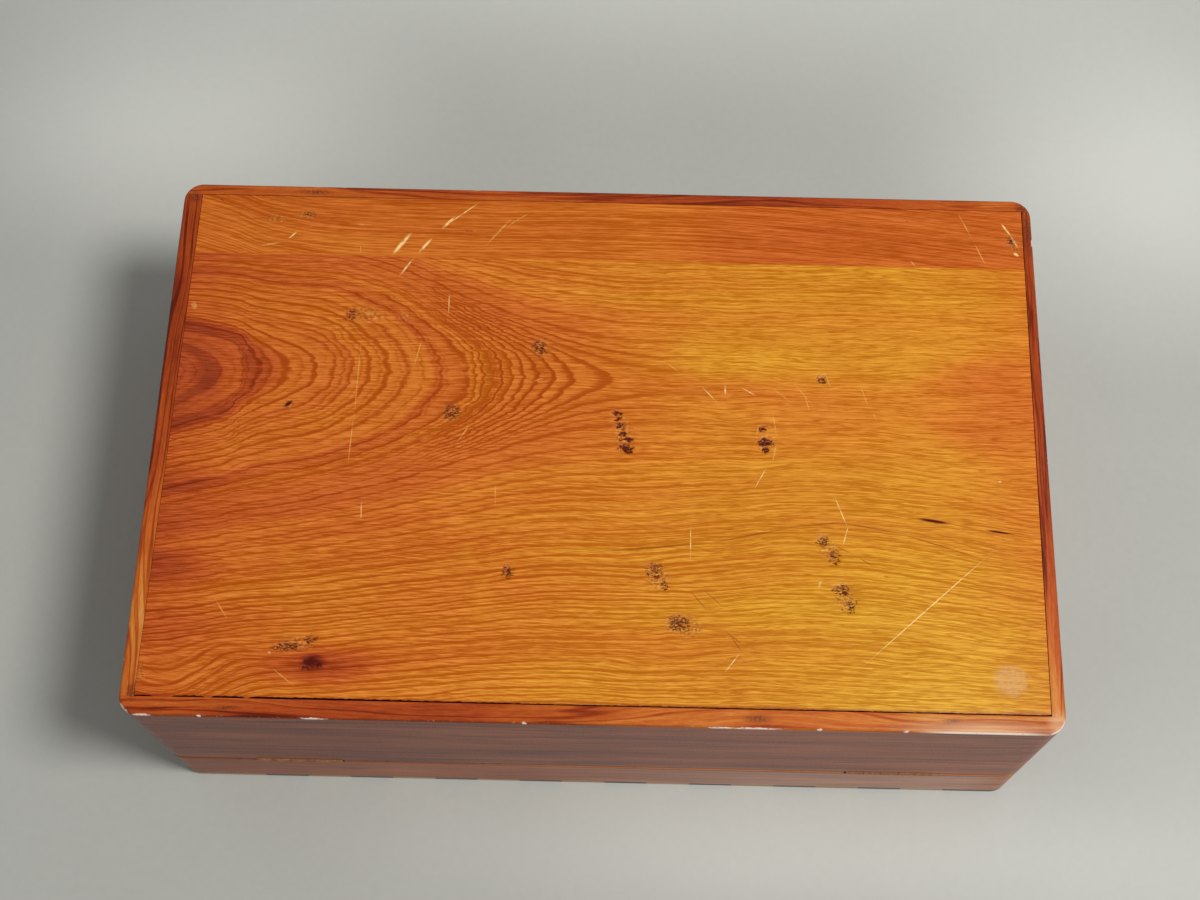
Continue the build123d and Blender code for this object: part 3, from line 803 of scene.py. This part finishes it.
def wall_wood(name, side, seed, lift):
    """A wall of the box: dark varnish outside, an orange rubbed rim below, and bare wood inside."""
    s = Shader(name)
    point = s.point()
    x, y, z = s.split(point)
    along, reach = ("X", HALF_WIDTH) if side in ("back", "front") else ("Y", HALF_DEPTH)
    place = x if along == "X" else y
    change, height = straight_grain(s, point, along, 1.0, seed)
    outer = s.add(s.add(change, MIDDLE_TONE), s.remap(place, -reach, reach, *lift, smooth=False))
    colour = s.ramp(outer, OUTSIDE_TONES)
    rim = s.remap(z, BOX_TOP - 1.3, BOX_TOP - 0.7)
    rim_tone = s.add(s.mul(change, 0.8), s.curve(place, -reach, reach, RIM_FADE[side]))
    colour = s.mix(rim, colour, s.graded(s.ramp(rim_tone, RIM_TONES), s.mul(change, 2.6)))
    from_seam = s.absolute(s.sub(z, SEAM))
    colour = seam_colour(s, name, side, x, from_seam, change, colour)

    # Bare wood on the inner faces, and where the lid and the case meet behind the seam
    from_middle_x = s.absolute(x)
    from_middle_y = s.absolute(y)
    inward = s.largest(s.sub(from_middle_x, HALF_WIDTH - WALL + 0.3),
                       s.sub(from_middle_y, HALF_DEPTH - WALL + 0.3))
    inside = s.mul(s.remap(inward, 0.0, 0.3, 1.0, 0.0), s.remap(z, BOX_TOP - 2.0, BOX_TOP - 3.0))
    outward = s.largest(s.sub(from_middle_x, HALF_WIDTH), s.sub(from_middle_y, HALF_DEPTH))
    meeting = s.mul(s.remap(from_seam, 0.45, 0.2), s.remap(outward, -1.2, -2.0))
    inside = s.largest(inside, meeting)
    colour = s.mix(inside, colour, s.ramp(s.add(change, MIDDLE_TONE), INSIDE_TONES))

    speckle = s.noise(point, 1.5, 3, 0.65)
    colour = edge_colour(s, side, point, x, z, rim, outward, speckle, colour)
    # Painted sheen: the lid's back rail paler and greyer towards the right, a painted reflection of the
    # pale floor
    if name == "lid_back_wood":
        pale = s.mul(s.remap(x, -30, 60), s.remap(x, 108, 121, 1.0, 0.0))
        pale = s.mul(pale, s.remap(from_seam, 1.9, 2.6, 0.0, 0.22))
        colour = s.mix(pale, colour, LID_SHEEN_PAINT)
    scuff = s.noise(s.scaled(point, (0.10, 0.10, 0.8)), detail=4, roughness=0.7)
    scuffed = s.mul(s.remap(scuff, 0.58, 0.72), s.sub(0.35, s.mul(s.largest(rim, meeting), 0.35)))
    colour = s.mix(scuffed, colour, WALL_SCUFF)
    if side == "back":
        colour = dented_seam(s, x, y, z, colour)
    s.bump(height, 0.5)
    rough = s.remap(speckle, 0.3, 0.7, 0.30, 0.40)
    return s.finish(colour, rough, Specular_IOR_Level=WALL_SPECULAR)


def aged_brass(name, tone, stain, shine):
    s = Shader(name)
    point = s.point()
    spots = s.noise(point, 0.9, 4, 0.6)
    scratch = s.noise(s.scaled(point, (0.5, 6, 6)))
    colour = s.mix(s.remap(spots, 0.32, 0.68), tone, stain)
    s.bump(s.mul(scratch, 0.01), 0.5)
    return s.finish(colour, s.remap(spots, 0.3, 0.7, shine, shine + 0.3), Metallic=BRASS_METALLIC)


def paint(node, material):
    """Gives a CAD node its material."""
    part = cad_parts[node]
    part.data.materials.clear()
    part.data.materials.append(material)


for seed, side in enumerate(("back", "front", "left", "right")):
    paint(f"case_{side}_wall", wall_wood(f"case_{side}_wood", side, 3.0 * seed, CASE_LIFT))
    paint(f"lid_{side}_rail", wall_wood(f"lid_{side}_wood", side, 3.0 * seed + 1.5, LID_LIFT))
board_finish = board_wood()
paint("bottom_board_strip", strip_wood())
paint("lid_panel", veneer("panel_wood", INSIDE_TONES, "X", 0.8, 21.0, 0.5))
light_wood = veneer("light_veneer", LIGHT_TONES, "X", 1.6, 24.0)
dark_wood = veneer("dark_veneer", DARK_TONES, "X", 1.6, 27.0)
for node in ("border_light_blocks", "stringing_light", "corner_diamonds", "medallion_ring",
             "star_light_halves"):
    paint(node, light_wood)
for node in ("border_dark_blocks", "stringing_dark", "star_dark_halves"):
    paint(node, dark_wood)
paint("field_veneer", veneer("field_veneer_wood", FIELD_TONES, "X", 0.8, 30.0))
paint("medallion_ground", veneer("ground_veneer_wood", GROUND_TONES, "Y", 1.2, 33.0))

leaf_brass = aged_brass("leaf_brass", srgb(178, 120, 76), srgb(146, 92, 58), 0.38)
pin_brass = aged_brass("pin_brass", srgb(196, 138, 98), srgb(150, 94, 68), 0.34)
screw_brass = aged_brass("screw_brass", srgb(184, 144, 90), srgb(120, 84, 54), 0.28)
for end in ("left", "right"):
    for place in ("case", "lid"):
        paint(f"{end}_hinge_{place}_leaf", leaf_brass)
        paint(f"{end}_hinge_{place}_screws", screw_brass)
    paint(f"{end}_hinge_pin", pin_brass)


# The wide board as a worn mesh: pits and dents in its face, and a chipped edge along the back joint
COARSE = 3.0
FINER_MARGINS = (2.0, 1.2, 0.5)
UNEVEN = 0.10
PIT_DEPTH = 0.35
PIT_MARGIN = 0.5
EDGE_DEPTH = 1.3
FRONT_LEVEL = 4.0

# How wide the back joint has opened, as (x, millimetres), and where the board still touches the rim,
# as (x, half width)
JOINT_WIDTH = [
    (-121, 0.42), (-112, 0.46), (-96, 0.58), (-70, 0.60), (-40, 0.48), (-10, 0.38), (20, 0.40),
    (60, 0.38), (121, 0.36),
]
JOINT_TOUCHES = [(-113.4, 2.4), (-101.4, 0.8), (-91.0, 0.5)]
LEAST_JOINT = 0.03


def between(pairs, at):
    """The value of a broken line of (place, value) pairs."""
    for (x0, v0), (x1, v1) in zip(pairs, pairs[1:]):
        if at <= x1:
            return v0 + (v1 - v0) * max(0.0, at - x0) / (x1 - x0)
    return pairs[-1][1]


def ragged(x, y, scale, seed):
    """Noise from -1 to 1."""
    return noise.fractal(Vector((x * scale, y * scale, seed)), 1.0, 2.0, 3)


def joint_width(x):
    """How wide the joint along the back has opened at a place, with a ragged edge."""
    unevenness = 0.5 * ragged(x, 0, 0.9, 3.0) * (1.0 if x < 10 else 0.6)
    width = between(JOINT_WIDTH, x) * (1.0 + unevenness)
    for centre, half in JOINT_TOUCHES:
        width *= min(1.0, max(LEAST_JOINT, (abs(x - centre) - half) / 0.6 + LEAST_JOINT))
    return width


def dent_depth(x, y):
    """How deep the face is worn at a place."""
    depth = UNEVEN * (0.5 + 0.5 * ragged(x * 0.4, y, 0.05, 8.0))
    for px, py, wide, high, turn in PITS + BURNS:
        reach = math.hypot((x - px) / (wide + PIT_MARGIN), (y - py) / (high + PIT_MARGIN))
        if reach < 1.0:
            depth += PIT_DEPTH * (1.0 - reach) * (1.0 + 0.8 * ragged(x, y, 1.4, 5.0))
    return depth


def edge_drop(x, fade):
    """How far the chipped edge along the back joint lies below the face."""
    drop = max(0.0, 0.15 + 0.35 * ragged(x, 0, 0.7, 11.0))
    return fade * fade * drop * (1.0 if x < 20 else 0.5)


def near_wear(x, y, margin):
    if y < BACK_JOINT + margin * 1.4:
        return True
    spots = PITS + BURNS
    return any(math.hypot(x - px, y - py) < max(wide, high) + margin for px, py, wide, high, turn in spots)


def board_corners():
    """The board's four corners from its CAD mesh, back left first, going round."""
    places = [vertex.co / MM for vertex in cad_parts["bottom_board"].data.vertices]
    low = [place for place in places if place.z < BOARD_UNDER + 0.01]
    return [max(low, key=lambda c: sx * c.x + sy * c.y) for sx, sy in ((-1, -1), (1, -1), (1, 1), (-1, 1))]


def boundary_chains(rim, corners):
    """The boundary's vertices from corner to corner, one list for each side."""
    beside = {}
    for edge in rim:
        for vert in edge.verts:
            beside.setdefault(vert, []).append(edge.other_vert(vert))
    first, second = [min(beside, key=lambda vert: (vert.co - corner).length) for corner in corners[:2]]
    walk = [first, min(beside[first], key=lambda vert: (vert.co - second.co).length)]
    while walk[-1] is not first:
        walk.append([vert for vert in beside[walk[-1]] if vert is not walk[-2]][0])
    places = [min(range(len(walk) - 1), key=lambda i: (walk[i].co - corner).length) for corner in corners]
    places.append(len(walk) - 1)
    return [walk[a:b + 1] for a, b in zip(places, places[1:])]


def board_face(bm, corners):
    """A grid between the corners, finer near the worn places and along the back joint."""
    back_left, back_right, front_right, front_left = corners
    columns = round((back_right.x - back_left.x) / COARSE)
    rows = round((front_left.y - back_left.y) / COARSE)
    grid = []
    for j in range(rows + 1):
        left = back_left.lerp(front_left, j / rows)
        right = back_right.lerp(front_right, j / rows)
        grid.append([bm.verts.new(left.lerp(right, i / columns)) for i in range(columns + 1)])
    for j in range(rows):
        for i in range(columns):
            bm.faces.new((grid[j][i], grid[j][i + 1], grid[j + 1][i + 1], grid[j + 1][i]))
    for margin in FINER_MARGINS:
        middles = [(face, face.calc_center_median()) for face in bm.faces]
        chosen = [face for face, middle in middles if near_wear(middle.x, middle.y, margin)]
        edges = list({edge for face in chosen for edge in face.edges})
        bmesh.ops.subdivide_edges(bm, edges=edges, cuts=1, use_grid_fill=True)


def wear_face(bm, back_y, front_y):
    """Sinks the pits and dents into the face and chips its edge away along the back joint."""
    for vert in bm.verts:
        x, y = vert.co.x, vert.co.y
        fade = max(0.0, 1.0 - (y - back_y) / EDGE_DEPTH)
        depth = dent_depth(x, y)
        if fade > 0.0:
            vert.co.y += (joint_width(x) + BACK_JOINT - back_y) * fade
            depth += edge_drop(x, fade)
        if y > front_y - FRONT_LEVEL:
            depth *= max(0.0, (front_y - y) / FRONT_LEVEL)
        vert.co.z = BOX_TOP - max(0.0, depth)
    for face in bm.faces:
        face.smooth = True


def worn_board(material):
    corners = board_corners()
    bm = bmesh.new()
    board_face(bm, corners)
    rim = [edge for edge in bm.edges if edge.is_boundary]
    chains = boundary_chains(rim, corners)
    wear_face(bm, corners[0].y, corners[3].y)

    # The sides, straight below the chipped edge, and the face that is the box's floor inside
    under = [bm.verts.new((corner.x, corner.y, BOARD_UNDER)) for corner in corners]
    for i, chain in enumerate(chains):
        bm.faces.new([under[i], under[(i + 1) % 4]] + chain[::-1])
    bm.faces.new(under[::-1])
    for edge in rim:
        edge.smooth = False
    bmesh.ops.recalc_face_normals(bm, faces=bm.faces)
    mesh = bpy.data.meshes.new("worn_bottom_board")
    bm.to_mesh(mesh)
    bm.free()
    mesh.transform(Matrix.Scale(MM, 4))
    mesh.materials.append(material)
    piece = bpy.data.objects.new("worn_bottom_board", mesh)
    bpy.context.collection.objects.link(piece)
    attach(piece, "case")
    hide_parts("bottom_board")


worn_board(board_finish)


# The paper under the box, with painted pools of light where it is paler: (x, y, half width, half height,
# how much paler)
FLOOR_DARK = srgb(170, 171, 164)
FLOOR_PALE = srgb(212, 213, 205)
PAPER_ROUGHNESS = 0.8
PAPER_SPECULAR = 0.2
FLOOR_LIGHT_POOLS = [
    (0, 250, 420, 105, 1.7), (60, -100, 170, 34, 1.0), (190, 140, 120, 90, 1.5),
    (-150, 150, 110, 70, 1.5), (190, -110, 110, 90, 0.6),
]


def floor_paper():
    s = Shader("floor_grey")
    point = s.point()
    cloud = s.noise(point, 0.012, 4, 0.55)
    mottle = s.noise(point, 0.35, 4, 0.65)
    tone = s.add(s.swing(cloud, 0.5), s.swing(mottle, 0.35))
    # Painted light: paler pools on the paper, in front of the box and around it
    for x, y, half_width, half_height, amount in FLOOR_LIGHT_POOLS:
        tone = s.add(tone, s.mul(patch(s, point, x, y, half_width, half_height), amount))
    colour = s.mix(s.mul(s.add(tone, 0.5), 0.5), FLOOR_DARK, FLOOR_PALE)
    return s.finish(colour, PAPER_ROUGHNESS, Specular_IOR_Level=PAPER_SPECULAR)


def make_floor():
    mesh = bpy.data.meshes.new("floor")
    reach = FLOOR_HALF_SIZE
    corners = [(-reach, -reach, 0), (reach, -reach, 0), (reach, reach, 0), (-reach, reach, 0)]
    mesh.from_pydata(corners, [], [(0, 1, 2, 3)])
    mesh.materials.append(floor_paper())
    floor = bpy.data.objects.new("floor", mesh)
    bpy.context.collection.objects.link(floor)


def make_lamp():
    data = bpy.data.lights.new("key", "AREA")
    data.shape = "DISK"
    data.size = KEY_SIZE
    data.energy = KEY_POWER
    lamp = bpy.data.objects.new("key", data)
    lamp.location = KEY_PLACE
    aim = Vector(KEY_TARGET) - Vector(KEY_PLACE)
    lamp.rotation_euler = aim.to_track_quat("-Z", "Y").to_euler()
    bpy.context.collection.objects.link(lamp)


def make_world():
    world = bpy.data.worlds.new("studio")
    world.use_nodes = True
    background = world.node_tree.nodes["Background"]
    background.inputs["Color"].default_value = (1, 1, 1, 1)
    background.inputs["Strength"].default_value = WORLD_STRENGTH
    bpy.context.scene.world = world


def make_camera():
    elevation, azimuth, roll = (math.radians(a) for a in (CAMERA_ELEVATION, CAMERA_AZIMUTH, CAMERA_ROLL))
    back = Vector((math.sin(azimuth) * math.cos(elevation), -math.cos(azimuth) * math.cos(elevation),
                   math.sin(elevation)))
    right = Vector((0, 0, 1)).cross(back).normalized()
    up = back.cross(right)
    turned_right = math.cos(roll) * right + math.sin(roll) * up
    turned_up = math.cos(roll) * up - math.sin(roll) * right
    data = bpy.data.cameras.new("camera")
    data.sensor_width = SENSOR_WIDTH
    data.lens = SENSOR_WIDTH * FOCAL_PIXELS / PHOTO_WIDTH
    data.shift_x = (PHOTO_WIDTH / 2 - PRINCIPAL_X) / PHOTO_WIDTH
    camera = bpy.data.objects.new("camera", data)
    place = (Vector(CAMERA_TARGET) + back * CAMERA_DISTANCE) * MM
    turn = Matrix((turned_right, turned_up, back)).transposed().to_4x4()
    camera.matrix_world = Matrix.Translation(place) @ turn
    bpy.context.collection.objects.link(camera)
    bpy.context.scene.camera = camera


make_floor()
make_lamp()
make_world()
make_camera()
bpy.context.scene.view_settings.view_transform = "Standard"
